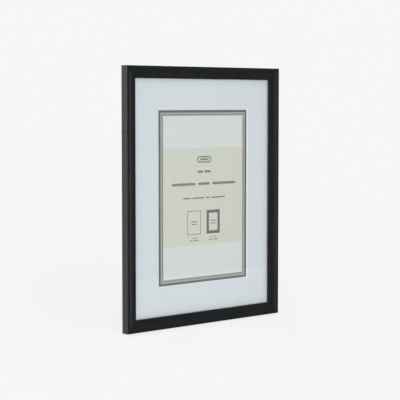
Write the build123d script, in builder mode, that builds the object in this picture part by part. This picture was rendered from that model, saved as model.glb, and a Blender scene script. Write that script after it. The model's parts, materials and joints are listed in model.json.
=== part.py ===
from build123d import *
import os
from math import cos, radians, sin

# Free-standing photo frame with a scooped moulding, leaning back on a hinged strut.
# Millimetres and degrees. The floor is Z = 0, the front faces -Y and X runs to the viewer's right.

# Sheets in the rebate, front to back
GLASS_WIDTH = 152.0
GLASS_HEIGHT = 203.0
GLASS_THICKNESS = 1.5
GLASS_ARRIS = 0.2
MOUNT_THICKNESS = 0.8
MOUNT_SIDE_BORDER = 27.6
MOUNT_END_BORDER = 28.35
MOUNT_BEVEL_ANGLE = 45.0
APERTURE_OFFSET = 0.5
INSERT_LAP = 2.6
INSERT_THICKNESS = 0.2
BOARD_THICKNESS = 2.0
SHEET_CLEARANCE = 0.65

# Section of the moulding
RAIL_WIDTH = 10.2
LIP_OVERLAP = 3.6
LIP_THICKNESS = 1.5
SCOOP_DEPTH = 2.3
SCOOP_FLAT = 3.0
LAND_WIDTH = 2.0
ARRIS_RADIUS = 0.4
SIGHT_RADIUS = 0.3
REAR_CHAMFER = 0.9

# Corner nails driven into the back of each mitre
NAIL_INSET = 2.4
NAIL_LEG = 3.8
NAIL_THICKNESS = 0.5
NAIL_DEPTH = 5.0
NAIL_CLEARANCE = 0.03

# Turn buttons and their screws
BUTTON_SPACING = 110.0
BUTTON_REACH = 10.5
BUTTON_THICKNESS = 1.0
BUTTON_PIVOT_RADIUS = 2.6
BUTTON_TIP_RADIUS = 1.8
RIB_WIDTH = 1.4
RIB_HEIGHT = 0.4
RIB_GAP = 1.8
PIVOT_CLEARANCE = 0.05
SCREW_SHANK_RADIUS = 0.9
SCREW_DEPTH = 4.5
SCREW_TIP_ROOM = 0.3
SCREW_CLEARANCE = 0.03
SCREW_HEAD_RADIUS = 1.9
SCREW_HEAD_HEIGHT = 1.1
SCREW_HEAD_ROUND = 0.6
RECESS_LENGTH = 2.0
RECESS_WIDTH = 0.5
RECESS_DEPTH = 0.6

# How the frame stands
LEAN_ANGLE = 10.0
STRUT_OPENING = 20.0

# Strut leg
STRUT_DROP = 87.5
STRUT_THICKNESS = 2.5
STRUT_TOP_WIDTH = 34.0
STRUT_FOOT_WIDTH = 54.0
STRUT_CORNER_RADIUS = 4.0
STOP_GAP = 0.05

# Strut hinge
HINGE_WIDTH = 24.0
LEAF_HEIGHT = 20.0
LEAF_THICKNESS = 0.8
LEAF_CORNER_RADIUS = 2.0
LEAF_RIVET_INSET = 5.0
PIN_RADIUS = 1.0
PIN_CLEARANCE = 0.05
PIN_HEAD_RADIUS = 1.5
PIN_HEAD_LENGTH = 0.6
KNUCKLE_WALL = 0.7
KNUCKLE_GAP = 0.2
MIDDLE_KNUCKLE_LENGTH = 9.0

# Rivets
RIVET_SHANK_RADIUS = 1.0
RIVET_HEAD_RADIUS = 1.9
RIVET_HEAD_HEIGHT = 0.8
RIVET_HEAD_ROUND = 0.5
RIVET_CLEARANCE = 0.03

# Saw-tooth hangers
HANGER_LENGTH = 42.0
HANGER_HEIGHT = 8.0
HANGER_THICKNESS = 0.8
HANGER_FOOT = 7.0
HANGER_RAMP = 3.0
HANGER_RISE = 1.8
HANGER_MARGIN = 13.0
TOOTH_PITCH = 2.4
TOOTH_DEPTH = 1.5

# Worked out from the sizes above: a depth is measured back from the front of the frame
REBATE_EDGE = RAIL_WIDTH - LIP_OVERLAP
FRAME_WIDTH = GLASS_WIDTH + 2 * (SHEET_CLEARANCE + REBATE_EDGE)
FRAME_HEIGHT = GLASS_HEIGHT + 2 * (SHEET_CLEARANCE + REBATE_EDGE)
GLASS_DEPTH = SCOOP_DEPTH + LIP_THICKNESS
MOUNT_DEPTH = GLASS_DEPTH + GLASS_THICKNESS
INSERT_DEPTH = MOUNT_DEPTH + MOUNT_THICKNESS
BOARD_DEPTH = INSERT_DEPTH + INSERT_THICKNESS
FRAME_DEPTH = BOARD_DEPTH + BOARD_THICKNESS
SIDE_DEPTH = FRAME_DEPTH - REAR_CHAMFER

# The sheets have dropped onto the bottom rail and lie against the right one
SHEET_CENTRE = (SHEET_CLEARANCE, -SHEET_CLEARANCE)
APERTURE_CENTRE = (SHEET_CLEARANCE + APERTURE_OFFSET, -SHEET_CLEARANCE)
APERTURE_WIDTH = GLASS_WIDTH - 2 * MOUNT_SIDE_BORDER
APERTURE_HEIGHT = GLASS_HEIGHT - 2 * MOUNT_END_BORDER

# The strut opens until its heel, the end above the hinge, meets the board's leaf
LEAN = radians(LEAN_ANGLE)
OPENING = radians(STRUT_OPENING)
SPLAY = OPENING - LEAN
KNUCKLE_RADIUS = PIN_RADIUS + PIN_CLEARANCE + KNUCKLE_WALL
KNUCKLE_ROOM = KNUCKLE_RADIUS + KNUCKLE_GAP
AXIS_DEPTH = FRAME_DEPTH + KNUCKLE_ROOM
AXIS_HEIGHT = FRAME_HEIGHT - STRUT_DROP
LEG_BACK = KNUCKLE_ROOM + STRUT_THICKNESS
HEEL_TRAVEL = KNUCKLE_ROOM - LEAF_THICKNESS - STOP_GAP
HEEL_HEIGHT = (HEEL_TRAVEL + KNUCKLE_ROOM * cos(OPENING)) / sin(OPENING)
AXIS_RISE = (SIDE_DEPTH - AXIS_DEPTH) * sin(LEAN) + AXIS_HEIGHT * cos(LEAN)
AXIS_RUN = AXIS_HEIGHT * sin(LEAN) + AXIS_DEPTH * cos(LEAN)


def leg_length(face: float) -> float:
    """Length from the hinge axis to the floor along a face of the leg this far behind the axis."""
    return (AXIS_RISE + face * sin(SPLAY)) / cos(SPLAY)


# The frame rests on the rear edge of its bottom side, and the origin is under the middle of its box
FRONT_RUN = ARRIS_RADIUS * (cos(LEAN) + sin(LEAN) - 1)
FOOT_RUN = AXIS_RUN + leg_length(LEG_BACK) * sin(SPLAY) + LEG_BACK * cos(SPLAY)
BASE = Vector(0, -(FRONT_RUN + FOOT_RUN) / 2, SIDE_DEPTH * sin(LEAN))

# FACE is the front of the frame, with its origin at the middle and its Z towards the viewer
ACROSS = Vector(1, 0, 0)
UP = Vector(0, sin(LEAN), cos(LEAN))
BACKWARD = Vector(0, cos(LEAN), -sin(LEAN))
FACE = Plane(BASE + UP * (FRAME_HEIGHT / 2), x_dir=ACROSS, z_dir=-BACKWARD)

# HINGE is square to the hinge pin: its X runs backward and its Y up the frame
HINGE = Plane(BASE + UP * AXIS_HEIGHT + BACKWARD * AXIS_DEPTH, x_dir=BACKWARD, z_dir=ACROSS)

# STRUT is HINGE turned with the open leg, and LEG is the leg's front with its Y towards the foot
STRUT = Plane(HINGE.origin, x_dir=BACKWARD * cos(OPENING) + UP * sin(OPENING), z_dir=ACROSS)
LEG = Plane(HINGE.origin + STRUT.x_dir * KNUCKLE_ROOM, x_dir=ACROSS, z_dir=STRUT.x_dir)


def on_back(across: float, up: float) -> Vector:
    """A point on the back of the frame, across and up from its middle as the front is seen."""
    return FACE.from_local_coords(Vector(across, up, -FRAME_DEPTH))


def corner(side: int, level: int) -> Vector:
    """A front corner of the frame: side is -1 at the left, level is -1 at the bottom."""
    return FACE.from_local_coords(Vector(side * FRAME_WIDTH / 2, level * FRAME_HEIGHT / 2, 0))


# BACK is the back of the rails and board, seen from behind
BACK = Plane(on_back(0, 0), x_dir=-ACROSS, z_dir=BACKWARD)

# A hanger's plane has its X along the strip and its Y towards the top as hung
PORTRAIT_HANGER = Plane(
    on_back(SHEET_CENTRE[0], SHEET_CENTRE[1] + GLASS_HEIGHT / 2 - HANGER_MARGIN),
    x_dir=-ACROSS,
    z_dir=BACKWARD,
)
LANDSCAPE_HANGER = Plane(
    on_back(SHEET_CENTRE[0] + GLASS_WIDTH / 2 - HANGER_MARGIN, SHEET_CENTRE[1]),
    x_dir=UP,
    z_dir=BACKWARD,
)
HANGERS = (PORTRAIT_HANGER, LANDSCAPE_HANGER)

# Places of the fasteners on the planes that they are drawn on
PIVOT_X = (FRAME_WIDTH - REAR_CHAMFER - REBATE_EDGE) / 2
PIVOTS = [(side * PIVOT_X, level * BUTTON_SPACING / 2) for side in (-1, 1) for level in (-1, 1)]
AXIS_UP = AXIS_HEIGHT - FRAME_HEIGHT / 2
LEAF_RIVET_X = HINGE_WIDTH / 2 - LEAF_RIVET_INSET
LEAF_RIVET_Y = LEAF_HEIGHT - LEAF_RIVET_INSET
BOARD_LEAF_RIVETS = [(side * LEAF_RIVET_X, AXIS_UP + LEAF_RIVET_Y) for side in (-1, 1)]
LEG_LEAF_RIVETS = [(side * LEAF_RIVET_X, LEAF_RIVET_Y) for side in (-1, 1)]
HANGER_RIVETS = [(side * (HANGER_LENGTH - HANGER_FOOT) / 2, 0) for side in (-1, 1)]


def angled_nails(clearance: float) -> Part:
    """Four angled nails, one over each mitre, or their slots when a clearance is given."""
    outer_x = FRAME_WIDTH / 2 - NAIL_INSET + clearance
    outer_y = FRAME_HEIGHT / 2 - NAIL_INSET + clearance
    leg = NAIL_LEG + 2 * clearance
    gauge = NAIL_THICKNESS + 2 * clearance
    with BuildPart() as nails:
        with BuildSketch(BACK):
            with Locations((outer_x, outer_y)):
                Rectangle(leg, gauge, align=(Align.MAX, Align.MAX))
                Rectangle(gauge, leg, align=(Align.MAX, Align.MAX))
            mirror(about=Plane.YZ)
            mirror(about=Plane.XZ)
        extrude(amount=-NAIL_DEPTH)
    return nails.part


def screw_holes() -> Part:
    """The pilot holes of the turn buttons' screws, in the back of the side rails."""
    with BuildPart() as holes:
        with BuildSketch(BACK):
            with Locations(*PIVOTS):
                Circle(SCREW_SHANK_RADIUS + SCREW_CLEARANCE)
        extrude(amount=-SCREW_DEPTH - SCREW_TIP_ROOM)
    return holes.part


def mitred_rail(seat: Plane, length: float) -> Part:
    """A length of moulding, mitred at both ends.

    The seat's X runs from the outer side of the frame inward, its Y backward and its Z along the rail.
    """
    scoop_end = (RAIL_WIDTH - SCOOP_FLAT, SCOOP_DEPTH)
    sight_front = (RAIL_WIDTH - SIGHT_RADIUS, SCOOP_DEPTH)
    sight_side = (RAIL_WIDTH, SCOOP_DEPTH + SIGHT_RADIUS)
    with BuildPart() as rail:
        with BuildSketch(seat):
            with BuildLine():
                Polyline((REAR_CHAMFER, FRAME_DEPTH), (0, SIDE_DEPTH), (0, ARRIS_RADIUS))
                TangentArc((0, ARRIS_RADIUS), (ARRIS_RADIUS, 0), tangent=(0, -1))
                Line((ARRIS_RADIUS, 0), (LAND_WIDTH, 0))
                TangentArc(scoop_end, (LAND_WIDTH, 0), tangent=(-1, 0))
                Line(scoop_end, sight_front)
                TangentArc(sight_front, sight_side, tangent=(1, 0))
                Polyline(
                    sight_side,
                    (RAIL_WIDTH, GLASS_DEPTH),
                    (REBATE_EDGE, GLASS_DEPTH),
                    (REBATE_EDGE, FRAME_DEPTH),
                    (REAR_CHAMFER, FRAME_DEPTH),
                )
            make_face()
        extrude(amount=length)
        far_end = seat.offset(length)
        near_mitre = Plane(seat.origin, x_dir=seat.y_dir, z_dir=seat.z_dir - seat.x_dir)
        far_mitre = Plane(far_end.origin, x_dir=seat.y_dir, z_dir=-seat.z_dir - seat.x_dir)
        split(bisect_by=near_mitre, keep=Keep.TOP)
        split(bisect_by=far_mitre, keep=Keep.TOP)
        add(angled_nails(NAIL_CLEARANCE), mode=Mode.SUBTRACT)
        add(screw_holes(), mode=Mode.SUBTRACT)
    return rail.part


def turn_button(pivot: tuple[float, float]) -> Part:
    """A flat button on its screw, lying across the joint of rail and back board, with a stiffening rib."""
    tip = BUTTON_REACH - BUTTON_TIP_RADIUS
    rib_length = tip - SCREW_HEAD_RADIUS - RIB_GAP
    inward = BACK.x_dir if pivot[0] < 0 else -BACK.x_dir
    seat = Plane(BACK.from_local_coords(Vector(*pivot, 0)), x_dir=inward, z_dir=BACKWARD)
    with BuildPart() as button:
        with BuildSketch(seat):
            Circle(BUTTON_PIVOT_RADIUS)
            with Locations((tip, 0)):
                Circle(BUTTON_TIP_RADIUS)
            make_hull()
            Circle(SCREW_SHANK_RADIUS + PIVOT_CLEARANCE, mode=Mode.SUBTRACT)
        extrude(amount=BUTTON_THICKNESS)
        with BuildSketch(seat.offset(BUTTON_THICKNESS)):
            with Locations((tip, 0)):
                SlotOverall(rib_length, RIB_WIDTH, align=(Align.MAX, Align.CENTER))
        extrude(amount=RIB_HEIGHT)
    return button.part


def rivets(seat: Plane, spots: list[tuple[float, float]], grip: float) -> Part:
    """Domed rivets: the heads lie on the seat and the shanks run down through the grip."""
    with BuildPart() as group:
        with BuildSketch(seat):
            with Locations(*spots):
                Circle(RIVET_HEAD_RADIUS)
        extrude(amount=RIVET_HEAD_HEIGHT)
        rims = group.edges().group_by(Axis(seat.origin, seat.z_dir))[-1]
        fillet(rims, RIVET_HEAD_ROUND)
        with BuildSketch(seat):
            with Locations(*spots):
                Circle(RIVET_SHANK_RADIUS)
        extrude(amount=-grip)
    return group.part


def rivet_holes(seat: Plane, spots: list[tuple[float, float]], grip: float) -> Part:
    """Holes for those rivets, from the seat down through the grip."""
    with BuildPart() as holes:
        with BuildSketch(seat):
            with Locations(*spots):
                Circle(RIVET_SHANK_RADIUS + RIVET_CLEARANCE)
        extrude(amount=-grip)
    return holes.part


def saw_tooth_hanger(seat: Plane) -> Part:
    """A strip with flat feet, a raised bridge and teeth along the bridge's lower edge."""
    half = HANGER_LENGTH / 2
    bridge = half - HANGER_FOOT - HANGER_RAMP
    lower_edge = -HANGER_HEIGHT / 2
    under = [
        (-half, 0),
        (HANGER_FOOT - half, 0),
        (-bridge, HANGER_RISE),
        (bridge, HANGER_RISE),
        (half - HANGER_FOOT, 0),
        (half, 0),
    ]
    over = [(along, rise + HANGER_THICKNESS) for along, rise in reversed(under)]
    teeth = int(2 * bridge // TOOTH_PITCH)
    with BuildPart() as hanger:
        with BuildSketch(Plane(seat.origin, x_dir=seat.x_dir, z_dir=-seat.y_dir)):
            with BuildLine():
                Polyline(*under, *over, close=True)
            make_face()
        extrude(amount=HANGER_HEIGHT / 2, both=True)
        with BuildSketch(seat):
            with BuildLine():
                Polyline(
                    (-TOOTH_PITCH / 2, lower_edge),
                    (0, lower_edge + TOOTH_DEPTH),
                    (TOOTH_PITCH / 2, lower_edge),
                    close=True,
                )
            notch = make_face(mode=Mode.PRIVATE)
            with GridLocations(TOOTH_PITCH, 0, teeth, 1):
                add(notch)
        extrude(amount=HANGER_RISE + HANGER_THICKNESS, mode=Mode.SUBTRACT)
        foot_top = seat.offset(HANGER_THICKNESS)
        add(rivet_holes(foot_top, HANGER_RIVETS, HANGER_THICKNESS), mode=Mode.SUBTRACT)
    return hanger.part


# Rails
with BuildPart() as rail_left:
    add(mitred_rail(Plane(corner(-1, -1), x_dir=ACROSS, z_dir=UP), FRAME_HEIGHT))

with BuildPart() as rail_right:
    add(mitred_rail(Plane(corner(1, 1), x_dir=-ACROSS, z_dir=-UP), FRAME_HEIGHT))

with BuildPart() as rail_bottom:
    add(mitred_rail(Plane(corner(1, -1), x_dir=UP, z_dir=-ACROSS), FRAME_WIDTH))

with BuildPart() as rail_top:
    add(mitred_rail(Plane(corner(-1, 1), x_dir=-UP, z_dir=ACROSS), FRAME_WIDTH))

with BuildPart() as corner_nails:
    add(angled_nails(0))

# Sheets
with BuildPart() as glass_pane:
    with BuildSketch(FACE.offset(-GLASS_DEPTH)):
        with Locations(SHEET_CENTRE):
            Rectangle(GLASS_WIDTH, GLASS_HEIGHT)
    extrude(amount=-GLASS_THICKNESS)
    chamfer(glass_pane.edges(), GLASS_ARRIS)

with BuildPart() as mount_board:
    with BuildSketch(FACE.offset(-MOUNT_DEPTH)):
        with Locations(SHEET_CENTRE):
            Rectangle(GLASS_WIDTH, GLASS_HEIGHT)
    extrude(amount=-MOUNT_THICKNESS)
    with BuildSketch(FACE.offset(-INSERT_DEPTH)):
        with Locations(APERTURE_CENTRE):
            Rectangle(APERTURE_WIDTH, APERTURE_HEIGHT)
    extrude(amount=MOUNT_THICKNESS, taper=-MOUNT_BEVEL_ANGLE, mode=Mode.SUBTRACT)

with BuildPart() as insert_sheet:
    with BuildSketch(FACE.offset(-INSERT_DEPTH)):
        with Locations(APERTURE_CENTRE):
            Rectangle(APERTURE_WIDTH + 2 * INSERT_LAP, APERTURE_HEIGHT + 2 * INSERT_LAP)
    extrude(amount=-INSERT_THICKNESS)

with BuildPart() as back_board:
    with BuildSketch(FACE.offset(-BOARD_DEPTH)):
        with Locations(SHEET_CENTRE):
            Rectangle(GLASS_WIDTH, GLASS_HEIGHT)
    extrude(amount=-BOARD_THICKNESS)
    add(rivet_holes(BACK, BOARD_LEAF_RIVETS, BOARD_THICKNESS), mode=Mode.SUBTRACT)
    for hanger_seat in HANGERS:
        add(rivet_holes(hanger_seat, HANGER_RIVETS, BOARD_THICKNESS), mode=Mode.SUBTRACT)

# Turn buttons
turn_buttons = {}
for number, pivot in enumerate(PIVOTS, start=1):
    with BuildPart() as turn_buttons[f"turn_button_{number}"]:
        add(turn_button(pivot))

with BuildPart() as turn_button_screws:
    with BuildSketch(BACK.offset(BUTTON_THICKNESS)):
        with Locations(*PIVOTS):
            Circle(SCREW_HEAD_RADIUS)
    extrude(amount=SCREW_HEAD_HEIGHT)
    screw_rims = turn_button_screws.edges().group_by(Axis(BACK.origin, BACKWARD))[-1]
    fillet(screw_rims, SCREW_HEAD_ROUND)
    with BuildSketch(BACK.offset(BUTTON_THICKNESS)):
        with Locations(*PIVOTS):
            Circle(SCREW_SHANK_RADIUS)
    extrude(amount=-BUTTON_THICKNESS - SCREW_DEPTH)
    with BuildSketch(BACK.offset(BUTTON_THICKNESS + SCREW_HEAD_HEIGHT)):
        with Locations(*PIVOTS):
            Rectangle(RECESS_LENGTH, RECESS_WIDTH)
            Rectangle(RECESS_WIDTH, RECESS_LENGTH)
    extrude(amount=-RECESS_DEPTH, mode=Mode.SUBTRACT)

# Strut hinge: the leg's knuckle turns between the board leaf's two
SIDE_KNUCKLE_START = MIDDLE_KNUCKLE_LENGTH / 2 + KNUCKLE_GAP
SIDE_KNUCKLE_LENGTH = HINGE_WIDTH / 2 - SIDE_KNUCKLE_START

with BuildPart() as hinge_board_leaf:
    with BuildSketch(BACK):
        with Locations((0, AXIS_UP)):
            board_leaf_outline = Rectangle(HINGE_WIDTH, LEAF_HEIGHT, align=(Align.CENTER, Align.MIN))
        fillet(board_leaf_outline.vertices().group_by(Axis.Y)[-1], LEAF_CORNER_RADIUS)
        with Locations((0, AXIS_UP)):
            Rectangle(
                2 * SIDE_KNUCKLE_START,
                KNUCKLE_ROOM,
                align=(Align.CENTER, Align.MIN),
                mode=Mode.SUBTRACT,
            )
    extrude(amount=LEAF_THICKNESS)
    for knuckle_start in (SIDE_KNUCKLE_START, -HINGE_WIDTH / 2):
        with BuildSketch(HINGE.offset(knuckle_start)):
            Circle(KNUCKLE_RADIUS)
            Rectangle(KNUCKLE_ROOM, KNUCKLE_RADIUS, align=(Align.MAX, Align.MIN))
            Circle(PIN_RADIUS + PIN_CLEARANCE, mode=Mode.SUBTRACT)
        extrude(amount=SIDE_KNUCKLE_LENGTH)
    board_leaf_top = BACK.offset(LEAF_THICKNESS)
    add(rivet_holes(board_leaf_top, BOARD_LEAF_RIVETS, LEAF_THICKNESS), mode=Mode.SUBTRACT)

with BuildPart() as hinge_leg_leaf:
    with BuildSketch(LEG):
        leg_leaf_outline = Rectangle(HINGE_WIDTH, LEAF_HEIGHT, align=(Align.CENTER, Align.MIN))
        fillet(leg_leaf_outline.vertices().group_by(Axis.Y)[-1], LEAF_CORNER_RADIUS)
        for side in (-1, 1):
            with Locations((side * (SIDE_KNUCKLE_START + SIDE_KNUCKLE_LENGTH / 2), 0)):
                Rectangle(
                    SIDE_KNUCKLE_LENGTH + 2 * KNUCKLE_GAP,
                    KNUCKLE_ROOM,
                    align=(Align.CENTER, Align.MIN),
                    mode=Mode.SUBTRACT,
                )
    extrude(amount=-LEAF_THICKNESS)
    with BuildSketch(STRUT):
        Circle(KNUCKLE_RADIUS)
        Rectangle(KNUCKLE_ROOM, KNUCKLE_RADIUS, align=(Align.MIN, Align.MAX))
        Circle(PIN_RADIUS + PIN_CLEARANCE, mode=Mode.SUBTRACT)
    extrude(amount=MIDDLE_KNUCKLE_LENGTH / 2, both=True)
    add(rivet_holes(LEG, LEG_LEAF_RIVETS, LEAF_THICKNESS), mode=Mode.SUBTRACT)

with BuildPart() as hinge_pin:
    with BuildSketch(HINGE):
        Circle(PIN_RADIUS)
    extrude(amount=HINGE_WIDTH / 2, both=True)
    for head_start in (HINGE_WIDTH / 2, -HINGE_WIDTH / 2 - PIN_HEAD_LENGTH):
        with BuildSketch(HINGE.offset(head_start)):
            Circle(PIN_HEAD_RADIUS)
        extrude(amount=PIN_HEAD_LENGTH)

with BuildPart() as hinge_board_rivets:
    add(rivets(board_leaf_top, BOARD_LEAF_RIVETS, LEAF_THICKNESS + BOARD_THICKNESS))

# Strut leg, with its foot cut along the floor
LEG_REAR = LEG.offset(STRUT_THICKNESS)

with BuildPart() as strut_leg:
    leg_end = max(leg_length(KNUCKLE_ROOM), leg_length(LEG_BACK))
    with BuildSketch(LEG):
        with BuildLine():
            Polyline(
                (-STRUT_TOP_WIDTH / 2, -HEEL_HEIGHT),
                (STRUT_TOP_WIDTH / 2, -HEEL_HEIGHT),
                (STRUT_FOOT_WIDTH / 2, leg_end),
                (-STRUT_FOOT_WIDTH / 2, leg_end),
                close=True,
            )
        leg_outline = make_face()
        fillet(leg_outline.vertices().group_by(Axis.Y)[0], STRUT_CORNER_RADIUS)
    extrude(amount=STRUT_THICKNESS)
    split(bisect_by=Plane.XY, keep=Keep.TOP)
    add(rivet_holes(LEG_REAR, LEG_LEAF_RIVETS, STRUT_THICKNESS), mode=Mode.SUBTRACT)

with BuildPart() as hinge_leg_rivets:
    add(rivets(LEG_REAR, LEG_LEAF_RIVETS, STRUT_THICKNESS + LEAF_THICKNESS))

# Hangers
with BuildPart() as hanger_portrait:
    add(saw_tooth_hanger(PORTRAIT_HANGER))

with BuildPart() as hanger_landscape:
    add(saw_tooth_hanger(LANDSCAPE_HANGER))

with BuildPart() as hanger_rivets:
    for hanger_seat in HANGERS:
        hanger_foot_top = hanger_seat.offset(HANGER_THICKNESS)
        add(rivets(hanger_foot_top, HANGER_RIVETS, HANGER_THICKNESS + BOARD_THICKNESS))

# One file for each piece, under its own name
pieces = {
    "rail_left": rail_left,
    "rail_right": rail_right,
    "rail_top": rail_top,
    "rail_bottom": rail_bottom,
    "corner_nails": corner_nails,
    "glass_pane": glass_pane,
    "mount_board": mount_board,
    "insert_sheet": insert_sheet,
    "back_board": back_board,
    **turn_buttons,
    "turn_button_screws": turn_button_screws,
    "hinge_board_leaf": hinge_board_leaf,
    "hinge_leg_leaf": hinge_leg_leaf,
    "hinge_pin": hinge_pin,
    "hinge_board_rivets": hinge_board_rivets,
    "hinge_leg_rivets": hinge_leg_rivets,
    "strut_leg": strut_leg,
    "hanger_portrait": hanger_portrait,
    "hanger_landscape": hanger_landscape,
    "hanger_rivets": hanger_rivets,
}
os.makedirs("parts", exist_ok=True)
for name, piece in pieces.items():
    piece.part.label = name
    export_step(piece.part, f"parts/{name}.step")
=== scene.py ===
"""Looks of a free-standing photo frame with a scooped black moulding, built round its solids.

Lengths are millimetres unless a name or a comment says otherwise. The scene itself is in metres.
"""

import json
import logging
import math
from abc import ABC, abstractmethod
from dataclasses import dataclass
from enum import Enum

import bmesh
import bpy
from mathutils import Matrix, Vector


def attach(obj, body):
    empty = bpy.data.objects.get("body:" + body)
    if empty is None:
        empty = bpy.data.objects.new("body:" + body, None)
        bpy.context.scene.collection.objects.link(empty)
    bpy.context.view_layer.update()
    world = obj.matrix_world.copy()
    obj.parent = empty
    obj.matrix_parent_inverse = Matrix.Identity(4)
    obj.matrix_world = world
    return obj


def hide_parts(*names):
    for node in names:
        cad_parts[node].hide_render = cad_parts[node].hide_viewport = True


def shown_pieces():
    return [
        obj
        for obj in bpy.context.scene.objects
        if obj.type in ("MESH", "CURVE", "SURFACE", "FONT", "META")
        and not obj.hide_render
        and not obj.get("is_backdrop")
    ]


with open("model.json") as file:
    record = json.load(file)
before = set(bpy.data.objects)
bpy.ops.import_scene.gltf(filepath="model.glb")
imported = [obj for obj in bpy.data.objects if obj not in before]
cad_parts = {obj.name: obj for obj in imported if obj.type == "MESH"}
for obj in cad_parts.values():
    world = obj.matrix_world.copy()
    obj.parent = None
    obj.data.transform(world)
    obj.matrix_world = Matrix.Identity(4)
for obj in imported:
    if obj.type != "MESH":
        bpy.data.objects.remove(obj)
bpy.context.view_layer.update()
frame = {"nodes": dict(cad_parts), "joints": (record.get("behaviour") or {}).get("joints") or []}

log = logging.getLogger("photo_frame")

MM = 0.001
# A mix node's sockets share their names among its kinds, so they go by number: first colours, then levels.
MIX_A, MIX_B, MIX_COLOUR = 6, 7, 2
MIX_LOW, MIX_HIGH, MIX_LEVEL = 2, 3, 0


def linear(hex_colour: str) -> tuple[float, float, float, float]:
    """Turns an sRGB hex value to linear colour.

    Args:
        hex_colour: The colour, such as "#1b1c1c".

    Returns:
        Red, green, blue and an alpha of 1.
    """
    shares = [int(hex_colour[start : start + 2], 16) / 255 for start in (1, 3, 5)]
    red, green, blue = (s / 12.92 if s <= 0.04045 else ((s + 0.055) / 1.055) ** 2.4 for s in shares)
    return red, green, blue, 1.0


def grey(level: float) -> tuple[float, float, float, float]:
    """A linear grey of this level, where 1 is white."""
    return level, level, level, 1.0


def per_metre(size: float) -> float:
    """The pattern scale at which one feature of a noise is this many millimetres across."""
    return 1.0 / (size * MM)


def add_node(
    tree: bpy.types.NodeTree,
    kind: str,
    inputs: dict[str | int, object] | None = None,
    **settings: object,
) -> bpy.types.Node:
    """Adds a node with its settings and fills its inputs.

    Args:
        tree: The node tree that gets it.
        kind: Blender's name for the kind of node.
        inputs: Input name or number to a value, or to the output socket that feeds it.
        settings: Properties of the node itself.

    Returns:
        The new node.
    """
    made = tree.nodes.new(kind)
    for name, value in settings.items():
        setattr(made, name, value)
    for name, value in (inputs or {}).items():
        if isinstance(value, bpy.types.NodeSocket):
            tree.links.new(value, made.inputs[name])
        else:
            made.inputs[name].default_value = value
    return made


def face_normal(node: str) -> Vector:
    """The way that the widest face of a CAD node points."""
    widest = max(frame["nodes"][node].data.polygons, key=lambda face: face.area)
    return widest.normal.copy()


def dress(nodes: tuple[str, ...], material: bpy.types.Material) -> None:
    """Gives CAD nodes a finish.

    Args:
        nodes: Names of the nodes.
        material: The finish's material.
    """
    for name in nodes:
        piece = frame["nodes"][name]
        piece.data.materials.clear()
        piece.data.materials.append(material)
        log.info("dressed %s in %s", name, material.name)


def new_piece(
    name: str,
    shape: bmesh.types.BMesh,
    materials: list[bpy.types.Material],
    replaced: tuple[str, ...] = (),
) -> None:
    """Makes a piece that rides on the frame from a finished shape.

    Args:
        name: The piece's name.
        shape: Its mesh in scene metres, which is freed.
        materials: Its materials, in the order of the faces' numbers.
        replaced: CAD nodes that it stands for.
    """
    mesh = bpy.data.meshes.new(name)
    shape.to_mesh(mesh)
    shape.free()
    for material in materials:
        mesh.materials.append(material)
    piece = bpy.data.objects.new(name, mesh)
    bpy.context.scene.collection.objects.link(piece)
    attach(piece, "frame")
    if replaced:
        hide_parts(*replaced)
    log.info("built %s with %d faces", name, len(mesh.polygons))


@dataclass(frozen=True)
class LeaningFrame:
    """The leaning frame's own axes: X across, Y up its front and Z towards the viewer, in millimetres.

    The origin is the middle of the front, and the lean is in radians.
    """

    to_scene: Matrix
    lean: float

    @classmethod
    def from_cad(cls) -> "LeaningFrame":
        """Reads the axes from a turn button's pivot and the origin from the rails.

        Returns:
            The axes of the frame as it stands.
        """
        pivot = next(j for j in frame["joints"] if j["name"] == "turn_button_1_pivot")
        viewer = -Vector(pivot["axis"]).normalized()
        across = Vector((1, 0, 0))
        up = viewer.cross(across)
        axes = Matrix((across, up, viewer)).transposed()
        rails = [obj for name, obj in frame["nodes"].items() if name.startswith("rail_")]
        spots = [axes.transposed() @ v.co for rail in rails for v in rail.data.vertices]
        low = Vector(map(min, zip(*spots)))
        high = Vector(map(max, zip(*spots)))
        middle = axes @ Vector(((low.x + high.x) / 2, (low.y + high.y) / 2, high.z))
        to_scene = Matrix.Translation(middle) @ axes.to_4x4() @ Matrix.Scale(MM, 4)
        return cls(to_scene, math.asin(viewer.z))

    def corners(self, node: str) -> list[Vector]:
        """A CAD node's vertices in these axes."""
        to_frame = self.to_scene.inverted()
        return [to_frame @ v.co for v in frame["nodes"][node].data.vertices]

    def extent(self, node: str) -> tuple[Vector, Vector]:
        """The lowest and highest corner of a CAD node in these axes."""
        spots = self.corners(node)
        return Vector(map(min, zip(*spots))), Vector(map(max, zip(*spots)))


class Run(Enum):
    """The way that a length of moulding runs, which its die lines follow."""

    LEVEL = "level"
    UPRIGHT = "upright"


class Finish(ABC):
    """A surface finish, which makes one material."""

    name: str

    def material(self) -> bpy.types.Material:
        """Makes the finish's material.

        Returns:
            The material, with the finish's own nodes.
        """
        made = bpy.data.materials.new(self.name)
        made.use_nodes = True
        made.node_tree.nodes.clear()
        surface = self.surface(made.node_tree)
        add_node(made.node_tree, "ShaderNodeOutputMaterial", {"Surface": surface})
        return made

    @abstractmethod
    def surface(self, tree: bpy.types.NodeTree) -> bpy.types.NodeSocket:
        """Adds the finish's nodes.

        Args:
            tree: The material's empty node tree.

        Returns:
            The shader's output.
        """


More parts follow.
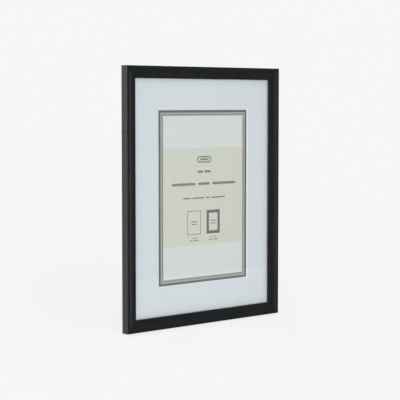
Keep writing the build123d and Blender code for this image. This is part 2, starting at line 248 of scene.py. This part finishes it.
@dataclass(frozen=True)
class ExtrudedPolystyrene(Finish):
    """Black polystyrene moulding, extruded through a die and left satin."""

    # To the eye: near black with a soft sheen, which faint lines from the die draw out along each rail.
    # The skin's orange peel is far finer than a pixel, so it is drawn about three times as coarse.
    name: str
    run: Run
    lean: float
    colour: str = "#0c0e0e"
    line_colour: str = "#272a2a"
    roughness: float = 0.26
    line_roughness: float = 0.44
    ior: float = 1.59
    line_width: float = 0.9
    line_length: float = 70.0
    line_height: float = 0.003
    peel_size: float = 0.8
    peel_height: float = 0.004

    def surface(self, tree: bpy.types.NodeTree) -> bpy.types.NodeSocket:
        """Lets the die lines drive colour, gloss and relief, and lays the peel over them.

        Args:
            tree: The material's empty node tree.

        Returns:
            The shader's output.
        """
        place = add_node(tree, "ShaderNodeTexCoord").outputs["Object"]
        upright = add_node(tree, "ShaderNodeMapping", {"Vector": place, "Rotation": (self.lean, 0, 0)})
        width = per_metre(self.line_width)
        length = per_metre(self.line_length)
        stretch = (length, width, width) if self.run is Run.LEVEL else (width, width, length)
        drawn = add_node(
            tree,
            "ShaderNodeVectorMath",
            {0: upright.outputs["Vector"], 1: stretch},
            operation="MULTIPLY",
        )
        lines = add_node(
            tree,
            "ShaderNodeTexNoise",
            {"Vector": drawn.outputs["Vector"], "Scale": 1.0, "Detail": 3.0},
        )
        colour = add_node(
            tree,
            "ShaderNodeMix",
            {0: lines.outputs["Fac"], MIX_A: linear(self.colour), MIX_B: linear(self.line_colour)},
            data_type="RGBA",
        )
        roughness = add_node(
            tree,
            "ShaderNodeMapRange",
            {"Value": lines.outputs["Fac"], "To Min": self.roughness, "To Max": self.line_roughness},
        )
        relief = add_node(
            tree,
            "ShaderNodeBump",
            {"Height": lines.outputs["Fac"], "Distance": self.line_height * MM},
        )
        peel = add_node(
            tree,
            "ShaderNodeTexNoise",
            {"Vector": place, "Scale": per_metre(self.peel_size), "Detail": 2.0},
        )
        skin = add_node(
            tree,
            "ShaderNodeBump",
            {
                "Height": peel.outputs["Fac"],
                "Distance": self.peel_height * MM,
                "Normal": relief.outputs["Normal"],
            },
        )
        shader = add_node(
            tree,
            "ShaderNodeBsdfPrincipled",
            {
                "Base Color": colour.outputs[MIX_COLOUR],
                "Roughness": roughness.outputs["Result"],
                "IOR": self.ior,
                "Normal": skin.outputs["Normal"],
            },
        )
        return shader.outputs["BSDF"]


@dataclass(frozen=True)
class PaperStock(Finish):
    """Calendered paper, bare or offset printed."""

    # To the eye: matt and even, with a faint cloudiness in its tone and a fine tooth in low light.
    # The tooth is finer than a pixel, so it is drawn coarse enough to show.
    name: str
    colour: str
    cloud_colour: str
    roughness: float = 0.8
    ior: float = 1.45
    cloud_size: float = 9.0
    tooth_size: float = 0.6
    tooth_height: float = 0.007

    def surface(self, tree: bpy.types.NodeTree) -> bpy.types.NodeSocket:
        """Lets clouds drive the colour and the tooth a bump.

        Args:
            tree: The material's empty node tree.

        Returns:
            The shader's output.
        """
        place = add_node(tree, "ShaderNodeTexCoord").outputs["Object"]
        clouds = add_node(
            tree,
            "ShaderNodeTexNoise",
            {"Vector": place, "Scale": per_metre(self.cloud_size), "Detail": 6.0, "Roughness": 0.7},
        )
        colour = add_node(
            tree,
            "ShaderNodeMix",
            {0: clouds.outputs["Fac"], MIX_A: linear(self.colour), MIX_B: linear(self.cloud_colour)},
            data_type="RGBA",
        )
        tooth = add_node(
            tree,
            "ShaderNodeTexNoise",
            {"Vector": place, "Scale": per_metre(self.tooth_size), "Detail": 3.0},
        )
        bump = add_node(
            tree,
            "ShaderNodeBump",
            {"Height": tooth.outputs["Fac"], "Distance": self.tooth_height * MM},
        )
        shader = add_node(
            tree,
            "ShaderNodeBsdfPrincipled",
            {
                "Base Color": colour.outputs[MIX_COLOUR],
                "Roughness": self.roughness,
                "IOR": self.ior,
                "Normal": bump.outputs["Normal"],
            },
        )
        return shader.outputs["BSDF"]


@dataclass(frozen=True)
class FloatGlass(Finish):
    """Clear float glass with polished faces."""

    # To the eye: what lies behind it, under a clean faint mirror of the room.
    # Light on its way to the print passes as through a clear film, so the mount isn't left in its shade.
    name: str
    colour: str = "#fdfdfd"
    ior: float = 1.5

    def surface(self, tree: bpy.types.NodeTree) -> bpy.types.NodeSocket:
        """Mixes glass for the eye with a clear film for light.

        Args:
            tree: The material's empty node tree.

        Returns:
            The shader's output.
        """
        path = add_node(tree, "ShaderNodeLightPath")
        light = add_node(
            tree,
            "ShaderNodeMath",
            {0: path.outputs["Is Shadow Ray"], 1: path.outputs["Is Diffuse Ray"]},
            operation="MAXIMUM",
        )
        glass = add_node(
            tree,
            "ShaderNodeBsdfPrincipled",
            {
                "Base Color": linear(self.colour),
                "Roughness": 0.0,
                "IOR": self.ior,
                "Transmission Weight": 1.0,
            },
        )
        film = add_node(tree, "ShaderNodeBsdfTransparent", {"Color": linear(self.colour)})
        pane = add_node(
            tree,
            "ShaderNodeMixShader",
            {0: light.outputs["Value"], 1: glass.outputs["BSDF"], 2: film.outputs["BSDF"]},
        )
        return pane.outputs["Shader"]


@dataclass(frozen=True)
class FacedBoard(Finish):
    """Pressed board faced with paper, then cut to size."""

    # To the eye: a dull, faintly mottled face with a fibrous tooth, and the bare core where it is cut.
    # The fibres are drawn about twice as thick as real ones, so that they show.
    name: str
    face_normal: Vector
    paper: str
    paper_mottle: str
    core: str
    core_fibre: str
    roughness: float = 0.64
    mottle_roughness: float = 0.82
    ior: float = 1.45
    mottle_size: float = 5.0
    fibre_size: float = 0.5
    fibre_share: float = 0.45
    fibre_height: float = 0.012
    cut_level: float = 0.75
    face_level: float = 0.85

    def surface(self, tree: bpy.types.NodeTree) -> bpy.types.NodeSocket:
        """Tells paper from core by the way that a face points, and roughens both with fibres.

        Args:
            tree: The material's empty node tree.

        Returns:
            The shader's output.
        """
        source = add_node(tree, "ShaderNodeTexCoord")
        place = source.outputs["Object"]
        clouds = add_node(
            tree,
            "ShaderNodeTexNoise",
            {"Vector": place, "Scale": per_metre(self.mottle_size), "Detail": 7.0, "Roughness": 0.65},
        )
        fibres = add_node(
            tree,
            "ShaderNodeTexNoise",
            {"Vector": place, "Scale": per_metre(self.fibre_size), "Detail": 4.0},
        )
        mottle = add_node(
            tree,
            "ShaderNodeMix",
            {0: self.fibre_share, MIX_LOW: clouds.outputs["Fac"], MIX_HIGH: fibres.outputs["Fac"]},
            data_type="FLOAT",
        )
        paper = add_node(
            tree,
            "ShaderNodeMix",
            {
                0: mottle.outputs[MIX_LEVEL],
                MIX_A: linear(self.paper),
                MIX_B: linear(self.paper_mottle),
            },
            data_type="RGBA",
        )
        core = add_node(
            tree,
            "ShaderNodeMix",
            {0: fibres.outputs["Fac"], MIX_A: linear(self.core_fibre), MIX_B: linear(self.core)},
            data_type="RGBA",
        )
        facing = add_node(
            tree,
            "ShaderNodeVectorMath",
            {0: source.outputs["Normal"], 1: self.face_normal},
            operation="DOT_PRODUCT",
        )
        flatness = add_node(tree, "ShaderNodeMath", {0: facing.outputs["Value"]}, operation="ABSOLUTE")
        faced = add_node(
            tree,
            "ShaderNodeMapRange",
            {
                "Value": flatness.outputs["Value"],
                "From Min": self.cut_level,
                "From Max": self.face_level,
            },
        )
        colour = add_node(
            tree,
            "ShaderNodeMix",
            {
                0: faced.outputs["Result"],
                MIX_A: core.outputs[MIX_COLOUR],
                MIX_B: paper.outputs[MIX_COLOUR],
            },
            data_type="RGBA",
        )
        roughness = add_node(
            tree,
            "ShaderNodeMapRange",
            {
                "Value": mottle.outputs[MIX_LEVEL],
                "To Min": self.roughness,
                "To Max": self.mottle_roughness,
            },
        )
        bump = add_node(
            tree,
            "ShaderNodeBump",
            {"Height": fibres.outputs["Fac"], "Distance": self.fibre_height * MM},
        )
        shader = add_node(
            tree,
            "ShaderNodeBsdfPrincipled",
            {
                "Base Color": colour.outputs[MIX_COLOUR],
                "Roughness": roughness.outputs["Result"],
                "IOR": self.ior,
                "Normal": bump.outputs["Normal"],
            },
        )
        return shader.outputs["BSDF"]


@dataclass(frozen=True)
class PlatedSteel(Finish):
    """Steel that was pressed or headed cold, then plated thinly."""

    # To the eye: a bright grey metal whose gloss is cloudy from the plating bath and finely scratched.
    # The scratches are drawn a few times as wide as real ones, so that they show.
    name: str
    colour: str = "#bcbfc2"
    cloud_colour: str = "#8a8e92"
    roughness: float = 0.24
    cloud_roughness: float = 0.46
    cloud_size: float = 2.4
    scratch_width: float = 0.25
    scratch_length: float = 6.0
    scratch_height: float = 0.0015

    def surface(self, tree: bpy.types.NodeTree) -> bpy.types.NodeSocket:
        """Lets clouds drive colour and gloss, and drawn-out noise make the scratches.

        Args:
            tree: The material's empty node tree.

        Returns:
            The shader's output.
        """
        place = add_node(tree, "ShaderNodeTexCoord").outputs["Object"]
        clouds = add_node(
            tree,
            "ShaderNodeTexNoise",
            {"Vector": place, "Scale": per_metre(self.cloud_size), "Detail": 5.0, "Roughness": 0.6},
        )
        colour = add_node(
            tree,
            "ShaderNodeMix",
            {0: clouds.outputs["Fac"], MIX_A: linear(self.colour), MIX_B: linear(self.cloud_colour)},
            data_type="RGBA",
        )
        roughness = add_node(
            tree,
            "ShaderNodeMapRange",
            {"Value": clouds.outputs["Fac"], "To Min": self.roughness, "To Max": self.cloud_roughness},
        )
        across = per_metre(self.scratch_width)
        drawn = add_node(
            tree,
            "ShaderNodeVectorMath",
            {0: place, 1: (per_metre(self.scratch_length), across, across)},
            operation="MULTIPLY",
        )
        scratches = add_node(
            tree,
            "ShaderNodeTexNoise",
            {"Vector": drawn.outputs["Vector"], "Scale": 1.0, "Detail": 2.0},
        )
        bump = add_node(
            tree,
            "ShaderNodeBump",
            {"Height": scratches.outputs["Fac"], "Distance": self.scratch_height * MM},
        )
        shader = add_node(
            tree,
            "ShaderNodeBsdfPrincipled",
            {
                "Base Color": colour.outputs[MIX_COLOUR],
                "Metallic": 1.0,
                "Roughness": roughness.outputs["Result"],
                "Normal": bump.outputs["Normal"],
            },
        )
        return shader.outputs["BSDF"]


@dataclass(frozen=True)
class SeamlessPaper(Finish):
    """Pale studio paper, rolled out under the frame."""

    # To the eye: one even tone that runs into the backdrop, with a soft shadow where the frame stands.
    # Most of it is its own glow, which the camera alone sees; the lit share of it carries the shadow.
    name: str
    colour: str
    sky: float
    lit_share: float

    def surface(self, tree: bpy.types.NodeTree) -> bpy.types.NodeSocket:
        """Mixes paper that the sky lights with a glow that brings it to the backdrop's tone.

        Args:
            tree: The material's empty node tree.

        Returns:
            The shader's output.
        """
        pale = linear(self.colour)
        glow = pale[0] * (1 - self.lit_share * self.sky) / (1 - self.lit_share)
        path = add_node(tree, "ShaderNodeLightPath")
        seen = add_node(
            tree,
            "ShaderNodeMath",
            {0: path.outputs["Is Camera Ray"], 1: 1 - self.lit_share},
            operation="MULTIPLY",
        )
        matt = add_node(tree, "ShaderNodeBsdfDiffuse", {"Color": pale})
        shine = add_node(tree, "ShaderNodeEmission", {"Color": grey(glow)})
        mixed = add_node(
            tree,
            "ShaderNodeMixShader",
            {0: seen.outputs["Value"], 1: matt.outputs["BSDF"], 2: shine.outputs["Emission"]},
        )
        return mixed.outputs["Shader"]


@dataclass
class Moulding:
    """The four mitred rails."""

    space: LeaningFrame
    rails: tuple[tuple[Run, tuple[str, ...]], ...] = (
        (Run.UPRIGHT, ("rail_left", "rail_right")),
        (Run.LEVEL, ("rail_top", "rail_bottom")),
    )

    def dress(self) -> None:
        """Gives each pair of rails die lines along its own length."""
        for run, names in self.rails:
            finish = ExtrudedPolystyrene(f"extruded_polystyrene_{run.value}", run, self.space.lean)
            dress(names, finish.material())


@dataclass
class Glazing:
    """The glass, which is a hair thinner than its solid so that it shares no face with the mount."""

    space: LeaningFrame
    air_gap: float = 0.02
    arris: float = 0.2
    arris_segments: int = 2

    def build(self) -> None:
        """Builds the pane with its polished arrises."""
        low, high = self.space.extent("glass_pane")
        pane = bmesh.new()
        bmesh.ops.create_cube(pane, size=1.0)
        bmesh.ops.scale(pane, vec=high - low - Vector((0, 0, 2 * self.air_gap)), verts=pane.verts)
        bmesh.ops.translate(pane, vec=(low + high) / 2, verts=pane.verts)
        bmesh.ops.bevel(
            pane,
            geom=pane.edges[:],
            offset=self.arris,
            offset_type="OFFSET",
            affect="EDGES",
            segments=self.arris_segments,
            profile=0.5,
            material=-1,
        )
        bmesh.ops.transform(pane, matrix=self.space.to_scene, verts=pane.verts)
        glass = FloatGlass("polished_float_glass").material()
        new_piece("glass_sheet", pane, [glass], ("glass_pane",))


@dataclass
class MountBoard:
    """The white board with the bevelled opening."""

    space: LeaningFrame

    def dress(self) -> None:
        """Gives the board its smooth white face paper and the bright core that its bevel shows."""
        finish = FacedBoard(
            "paper_faced_mount_card",
            face_normal("mount_board"),
            paper="#e2ebef",
            paper_mottle="#dde6ea",
            core="#fdfdfb",
            core_fibre="#f3f4f1",
            roughness=0.76,
            mottle_roughness=0.84,
            mottle_size=9.0,
            fibre_height=0.006,
        )
        dress(("mount_board",), finish.material())

    def opening(self) -> tuple[float, float]:
        """Measures the opening at the back of its bevel.

        Returns:
            Half its width and half its height.
        """
        low, high = self.space.extent("insert_sheet")
        middle = (low + high) / 2
        corners = [corner - middle for corner in self.space.corners("mount_board")]
        return min(abs(c.x) for c in corners), min(abs(c.y) for c in corners)


class Zone(Enum):
    """The printed zones of the insert's front, numbered as its materials are."""

    PAPER = 0
    DARK_BORDER = 1
    PALE_GAP = 2
    GREY_LINE = 3
    BAND = 4


class Ink(Enum):
    """The inks that lie over the zones, each with the name of its film."""

    FIELD = "insert_field"
    DIAGRAM = "insert_diagrams"
    BAR = "insert_bars"


ZONE_STOCKS: dict[Zone, PaperStock] = {
    Zone.PAPER: PaperStock("coated_paper", "#e4e9e7", "#dfe4e2"),
    Zone.DARK_BORDER: PaperStock("offset_print_dark_grey", "#6f7576", "#686e6f"),
    Zone.PALE_GAP: PaperStock("offset_print_pale_grey", "#b9bcba", "#b2b5b3"),
    Zone.GREY_LINE: PaperStock("offset_print_mid_grey", "#9a9f9d", "#939896"),
    Zone.BAND: PaperStock("offset_print_beige", "#dde0d3", "#d8dbce"),
}
INK_STOCKS: dict[Ink, PaperStock] = {
    Ink.FIELD: PaperStock("offset_print_off_white", "#dee2d9", "#d9ddd4"),
    Ink.DIAGRAM: PaperStock("offset_print_soft_black", "#7a7f78", "#727770"),
    Ink.BAR: PaperStock("offset_print_warm_grey", "#90948a", "#888c82"),
}


@dataclass(frozen=True)
class Mark:
    """A flat printed shape, placed from the sheet's middle.

    It is filled, unless it has the width of an outline, and square, unless its corners have a radius.
    """

    middle: tuple[float, float]
    size: tuple[float, float]
    radius: float | None = None
    outline: float | None = None
    corner_segments: int = 4

    def add_to(self, film: bmesh.types.BMesh) -> None:
        """Adds the shape to a film of ink.

        Args:
            film: The flat mesh that gets it.
        """
        before = set(film.faces)
        square = bmesh.ops.create_grid(film, x_segments=1, y_segments=1, size=0.5)["verts"]
        bmesh.ops.scale(film, vec=(*self.size, 1), verts=square)
        bmesh.ops.translate(film, vec=(*self.middle, 0), verts=square)
        if self.radius is not None:
            bmesh.ops.bevel(
                film,
                geom=square,
                offset=self.radius,
                offset_type="OFFSET",
                affect="VERTICES",
                segments=self.corner_segments,
                profile=0.5,
                material=-1,
            )
        if self.outline is not None:
            filled = [face for face in film.faces if face not in before]
            bmesh.ops.inset_region(
                film,
                faces=filled,
                thickness=self.outline,
                use_boundary=True,
                use_even_offset=True,
            )
            bmesh.ops.delete(film, geom=filled, context="FACES")


@dataclass(frozen=True)
class BarRow:
    """A row of plain round-ended bars, placed from the sheet's middle."""

    up: float
    height: float
    lengths: tuple[float, ...]
    gap: float = 0.0
    across: float = 0.0
    end_share: float = 0.45

    def marks(self, shift: float = 0.0) -> list[Mark]:
        """Lays the bars out from left to right.

        Args:
            shift: How far the row is moved across.

        Returns:
            One mark for each bar.
        """
        radius = self.height * self.end_share
        start = shift + self.across - (sum(self.lengths) + self.gap * (len(self.lengths) - 1)) / 2
        marks = []
        for length in self.lengths:
            marks.append(Mark((start + length / 2, self.up), (length, self.height), radius))
            start += length + self.gap
        return marks


@dataclass
class PrintedInsert:
    """The paper behind the opening: a double grey border, a beige band, plain bars and two diagrams."""

    space: LeaningFrame
    opening: tuple[float, float]
    dark_border: float = 2.05
    pale_gap: float = 3.1
    grey_line: float = 4.69
    band_half_height: float = 41.3
    air_gap: float = 0.02
    front_level: float = 0.5
    ink_thickness: float = 0.02
    diagram_size: tuple[float, float] = (14.7, 20.3)
    diagram_middles: tuple[tuple[float, float], ...] = ((-10.5, -22.15), (10.55, -22.15))
    diagram_lines: tuple[float, ...] = (0.5, 2.6)
    plate: Mark = Mark((0.6, 31.4), (15.5, 5.6), 2.5, outline=1.15)
    heading_rows: tuple[BarRow, ...] = (
        BarRow(31.4, 1.5, (9.5,), across=0.6),
        BarRow(21.0, 2.0, (6.0, 7.0), 1.5, across=0.6),
        BarRow(10.7, 2.15, (25.0, 12.5, 26.0), 3.2, across=0.7),
        BarRow(-1.3, 1.1, (8.0, 13.0, 4.0, 15.0), 2.0, across=0.6),
    )
    diagram_rows: tuple[BarRow, ...] = (
        BarRow(-21.2, 0.8, (7.2,)),
        BarRow(-23.5, 0.8, (5.4,)),
        BarRow(-35.1, 0.8, (2.0, 2.6), 1.2),
        BarRow(-37.3, 0.8, (3.6, 5.0), 1.3),
    )

    def build(self) -> None:
        """Builds the sheet, then the inks that lie on it."""
        low, high = self.space.extent("insert_sheet")
        self.build_sheet(low, high)
        face = Vector(((low.x + high.x) / 2, (low.y + high.y) / 2, high.z - self.air_gap))
        for ink, marks in self.marks().items():
            self.build_film(ink, marks, face)

    def zone(self, spot: Vector) -> Zone:
        """Tells what is printed at a point of the sheet.

        Args:
            spot: The point, from the sheet's middle.

        Returns:
            The zone that it is in.
        """
        inset = min(self.opening[0] - abs(spot.x), self.opening[1] - abs(spot.y))
        if inset < self.dark_border:
            return Zone.DARK_BORDER
        if inset < self.pale_gap:
            return Zone.PALE_GAP
        if inset < self.grey_line:
            return Zone.GREY_LINE
        return Zone.BAND if abs(spot.y) < self.band_half_height else Zone.PAPER

    def build_sheet(self, low: Vector, high: Vector) -> None:
        """Builds the sheet of paper, cut along the edges of its printed zones.

        Args:
            low: Its lowest corner in the frame's axes.
            high: Its highest corner.
        """
        paper = bmesh.new()
        bmesh.ops.create_cube(paper, size=1.0)
        bmesh.ops.scale(paper, vec=high - low - Vector((0, 0, 2 * self.air_gap)), verts=paper.verts)
        across, up = Vector((1, 0, 0)), Vector((0, 1, 0))
        borders = (self.dark_border, self.pale_gap, self.grey_line)
        cuts = [(across, self.opening[0] - border) for border in borders]
        cuts += [(up, self.opening[1] - border) for border in borders]
        cuts += [(up, self.band_half_height)]
        for normal, distance in cuts:
            for side in (-1, 1):
                bmesh.ops.bisect_plane(
                    paper,
                    geom=[*paper.verts, *paper.edges, *paper.faces],
                    plane_co=normal * distance * side,
                    plane_no=normal,
                )
        for face in paper.faces:
            printed = face.normal.z > self.front_level
            zone = self.zone(face.calc_center_median()) if printed else Zone.PAPER
            face.material_index = zone.value
        bmesh.ops.translate(paper, vec=(low + high) / 2, verts=paper.verts)
        bmesh.ops.transform(paper, matrix=self.space.to_scene, verts=paper.verts)
        materials = [ZONE_STOCKS[zone].material() for zone in Zone]
        new_piece("printed_insert", paper, materials, ("insert_sheet",))

    def marks(self) -> dict[Ink, list[Mark]]:
        """Lays out everything that is printed over the zones.

        The diagram with the wide line has a paler field, and the other is a line on the band.

        Returns:
            The marks of each ink.
        """
        diagrams = list(zip(self.diagram_middles, self.diagram_lines))
        wide_middle, wide_line = diagrams[-1]
        field = Mark(wide_middle, tuple(side - 2 * wide_line for side in self.diagram_size))
        outlines = [Mark(middle, self.diagram_size, outline=line) for middle, line in diagrams]
        bars = [mark for row in self.heading_rows for mark in row.marks()]
        for middle in self.diagram_middles:
            bars += [mark for row in self.diagram_rows for mark in row.marks(middle[0])]
        return {Ink.FIELD: [field], Ink.DIAGRAM: outlines, Ink.BAR: [self.plate, *bars]}

    def build_film(self, ink: Ink, marks: list[Mark], face: Vector) -> None:
        """Builds one ink as a thin film on the sheet.

        The bars' film is twice as thick, so that it shows above the field too.

        Args:
            ink: The ink.
            marks: Its marks.
            face: The middle of the sheet's front, in the frame's axes.
        """
        film = bmesh.new()
        for mark in marks:
            mark.add_to(film)
        thickness = self.ink_thickness * (2 if ink is Ink.BAR else 1)
        bmesh.ops.solidify(film, geom=film.faces[:], thickness=thickness)
        bmesh.ops.recalc_face_normals(film, faces=film.faces[:])
        low = min(v.co.z for v in film.verts)
        bmesh.ops.translate(film, vec=face - Vector((0, 0, low)), verts=film.verts)
        bmesh.ops.transform(film, matrix=self.space.to_scene, verts=film.verts)
        new_piece(ink.value, film, [INK_STOCKS[ink].material()])


@dataclass
class BackFittings:
    """The back board, its strut and everything that fastens them."""

    boards: tuple[str, ...] = ("back_board", "strut_leg")
    pressings: tuple[str, ...] = (
        "turn_button_1",
        "turn_button_2",
        "turn_button_3",
        "turn_button_4",
        "hinge_board_leaf",
        "hinge_leg_leaf",
        "hanger_portrait",
        "hanger_landscape",
        "corner_nails",
    )
    headed: tuple[str, ...] = (
        "turn_button_screws",
        "hinge_pin",
        "hinge_board_rivets",
        "hinge_leg_rivets",
        "hanger_rivets",
    )

    def dress(self) -> None:
        """Gives the boards their black paper and the fittings their plating."""
        for board in self.boards:
            finish = FacedBoard(
                f"paper_faced_fibreboard_{board}",
                face_normal(board),
                paper="#121211",
                paper_mottle="#434340",
                core="#8f714f",
                core_fibre="#59442c",
            )
            dress((board,), finish.material())
        dress(self.pressings, PlatedSteel("zinc_plated_pressed_steel").material())
        headed = PlatedSteel("nickel_plated_headed_steel", "#c6c5c0", "#9e9d98", 0.28, 0.42)
        dress(self.headed, headed.material())


@dataclass(frozen=True)
class Backdrop:
    """The pale floor and the room round it, with its sizes in metres.

    A soft sky, brighter on the left, gives the light. The camera sees a plain pale backdrop, and gloss and
    glass see the same backdrop as a room: bright on the left and behind, and dim in front on the right,
    where the moulding's face looks. Each level of the room is a share of the backdrop's tone.
    """

    tone: str = "#f6f6f6"
    sky: float = 0.7
    sky_lean: float = 0.4
    lit_share: float = 0.22
    floor_radius: float = 30.0
    floor_sides: int = 96
    front: tuple[tuple[float, float], ...] = (
        (0.0, 0.65),
        (0.36, 0.09),
        (0.7, 0.06),
        (0.85, 0.06),
        (1.0, 0.44),
    )
    behind: float = 0.55
    behind_start: float = 0.1
    behind_end: float = 0.5
    rise: float = 0.06

    def lay_floor(self) -> None:
        """Lays the floor, which gloss doesn't see."""
        disc = bmesh.new()
        bmesh.ops.create_circle(disc, cap_ends=True, segments=self.floor_sides, radius=self.floor_radius)
        mesh = bpy.data.meshes.new("floor")
        disc.to_mesh(mesh)
        disc.free()
        paper = SeamlessPaper("seamless_studio_paper", self.tone, self.sky, self.lit_share)
        mesh.materials.append(paper.material())
        floor = bpy.data.objects.new("floor", mesh)
        bpy.context.scene.collection.objects.link(floor)
        floor.visible_glossy = False
        floor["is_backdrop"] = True

    def room_level(self, tree: bpy.types.NodeTree, way: bpy.types.Node) -> bpy.types.NodeSocket:
        """Adds the nodes for the room that gloss and glass see.

        Args:
            tree: The world's node tree.
            way: The node that gives the parts of a ray's direction.

        Returns:
            The room's level in the direction of a ray.
        """
        across = add_node(tree, "ShaderNodeMapRange", {"Value": way.outputs["X"], "From Min": -1.0})
        front = add_node(tree, "ShaderNodeValToRGB", {"Fac": across.outputs["Result"]})
        stops = front.color_ramp.elements
        stops.remove(stops[1])
        stops[0].position, stops[0].color = self.front[0][0], grey(self.front[0][1])
        for place, level in self.front[1:]:
            stops.new(place).color = grey(level)
        depth = add_node(
            tree,
            "ShaderNodeMapRange",
            {"Value": way.outputs["Y"], "From Min": self.behind_start, "From Max": self.behind_end},
        )
        walls = add_node(
            tree,
            "ShaderNodeMix",
            {0: depth.outputs["Result"], MIX_LOW: front.outputs["Color"], MIX_HIGH: self.behind},
            data_type="FLOAT",
        )
        height = add_node(
            tree,
            "ShaderNodeMath",
            {0: way.outputs["Z"], 1: way.outputs["Z"]},
            operation="MULTIPLY",
        )
        raised = add_node(
            tree,
            "ShaderNodeMath",
            {0: height.outputs["Value"], 1: self.rise, 2: walls.outputs[MIX_LEVEL]},
            operation="MULTIPLY_ADD",
        )
        return raised.outputs["Value"]

    def make_world(self) -> None:
        """Makes the sky, and the backdrop that the camera, gloss and glass see."""
        world = bpy.data.worlds.new("studio")
        bpy.context.scene.world = world
        world.use_nodes = True
        tree = world.node_tree
        tree.nodes.clear()
        generated = add_node(tree, "ShaderNodeTexCoord").outputs["Generated"]
        way = add_node(tree, "ShaderNodeSeparateXYZ", {"Vector": generated})
        path = add_node(tree, "ShaderNodeLightPath")
        level = add_node(
            tree,
            "ShaderNodeMix",
            {0: path.outputs["Is Camera Ray"], MIX_LOW: self.room_level(tree, way), MIX_HIGH: 1.0},
            data_type="FLOAT",
        )
        mirrored = add_node(
            tree,
            "ShaderNodeMath",
            {0: path.outputs["Is Glossy Ray"], 1: path.outputs["Is Transmission Ray"]},
            operation="MAXIMUM",
        )
        shown = add_node(
            tree,
            "ShaderNodeMath",
            {0: path.outputs["Is Camera Ray"], 1: mirrored.outputs["Value"]},
            operation="MAXIMUM",
        )
        leaning = add_node(
            tree,
            "ShaderNodeMath",
            {0: way.outputs["X"], 1: -self.sky * self.sky_lean, 2: self.sky},
            operation="MULTIPLY_ADD",
        )
        sky = add_node(
            tree,
            "ShaderNodeBackground",
            {"Color": grey(1.0), "Strength": leaning.outputs["Value"]},
        )
        backdrop = add_node(
            tree,
            "ShaderNodeBackground",
            {"Color": linear(self.tone), "Strength": level.outputs[MIX_LEVEL]},
        )
        mixed = add_node(
            tree,
            "ShaderNodeMixShader",
            {0: shown.outputs["Value"], 1: sky.outputs["Background"], 2: backdrop.outputs["Background"]},
        )
        add_node(tree, "ShaderNodeOutputWorld", {"Surface": mixed.outputs["Shader"]})


@dataclass(frozen=True)
class Lamp:
    """A soft box: its middle and size in metres, its power in watts, and whether gloss and glass show it."""

    name: str
    middle: tuple[float, float, float]
    size: tuple[float, float]
    power: float
    shows: bool = True

    def hang(self, target: Vector, lit: bpy.types.Collection) -> None:
        """Hangs the soft box, turned to the frame.

        Args:
            target: The point that it faces, in metres.
            lit: The pieces that it lights.
        """
        data = bpy.data.lights.new(self.name, "AREA")
        data.shape = "RECTANGLE"
        data.size, data.size_y = self.size
        data.energy = self.power
        box = bpy.data.objects.new(self.name, data)
        bpy.context.scene.collection.objects.link(box)
        middle = Vector(self.middle)
        turn = (target - middle).to_track_quat("-Z", "Y")
        box.matrix_world = Matrix.LocRotScale(middle, turn, None)
        box.visible_camera = False
        box.visible_glossy = self.shows
        box.visible_transmission = self.shows
        box.light_linking.receiver_collection = lit


@dataclass(frozen=True)
class Viewpoint:
    """Where the photograph was taken from, in the frame's axes, with its angles in degrees."""

    aim: tuple[float, float] = (-7.465, 13.735)
    distance: float = 1048.4
    yaw: float = 39.55
    pitch: float = 3.543
    lens: float = 112.06
    sensor: float = 36.0
    shift: float = -0.05

    def place_camera(self, space: LeaningFrame) -> None:
        """Stands the camera there.

        Args:
            space: The frame's axes.
        """
        data = bpy.data.cameras.new("camera")
        data.lens = self.lens
        data.sensor_width = self.sensor
        data.shift_y = self.shift
        camera = bpy.data.objects.new("camera", data)
        bpy.context.scene.collection.objects.link(camera)
        aim = Matrix.Translation((*self.aim, 0))
        round_frame = Matrix.Rotation(-math.radians(self.yaw), 4, "Y")
        over_frame = Matrix.Rotation(-math.radians(self.pitch), 4, "X")
        away = Matrix.Translation((0, 0, self.distance))
        placed = space.to_scene @ aim @ round_frame @ over_frame @ away
        camera.matrix_world = Matrix.LocRotScale(placed.translation, placed.to_quaternion(), None)
        bpy.context.scene.camera = camera


@dataclass
class Studio:
    """The backdrop, the soft boxes and the camera."""

    space: LeaningFrame
    backdrop: Backdrop = Backdrop()
    viewpoint: Viewpoint = Viewpoint()
    lamps: tuple[Lamp, ...] = (
        Lamp("key_box", (-0.6, -1.55, 0.4), (1.0, 1.0), 11.8, shows=False),
        Lamp("side_strip", (-1.3, 0.5, 0.35), (0.4, 1.0), 14.0),
        Lamp("back_box", (0.7, 1.5, 0.9), (1.0, 1.0), 16.0),
    )

    def build(self) -> None:
        """Sets up the studio, with lamps that light the frame and leave the floor to the sky."""
        self.backdrop.lay_floor()
        self.backdrop.make_world()
        lit = bpy.data.collections.new("lit_pieces")
        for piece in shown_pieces():
            lit.objects.link(piece)
        for lamp in self.lamps:
            lamp.hang(self.space.to_scene.translation, lit)
        self.viewpoint.place_camera(self.space)
        bpy.context.scene.view_settings.view_transform = "Standard"
        log.info("set up the studio with %d lamps", len(self.lamps))


def main() -> None:
    """Builds and dresses the frame's sub-assemblies in order, then sets up the studio."""
    logging.basicConfig(level=logging.INFO, format="%(message)s")
    space = LeaningFrame.from_cad()
    Moulding(space).dress()
    mount = MountBoard(space)
    mount.dress()
    PrintedInsert(space, mount.opening()).build()
    Glazing(space).build()
    BackFittings().dress()
    Studio(space).build()


if __name__ == "__main__":
    main()
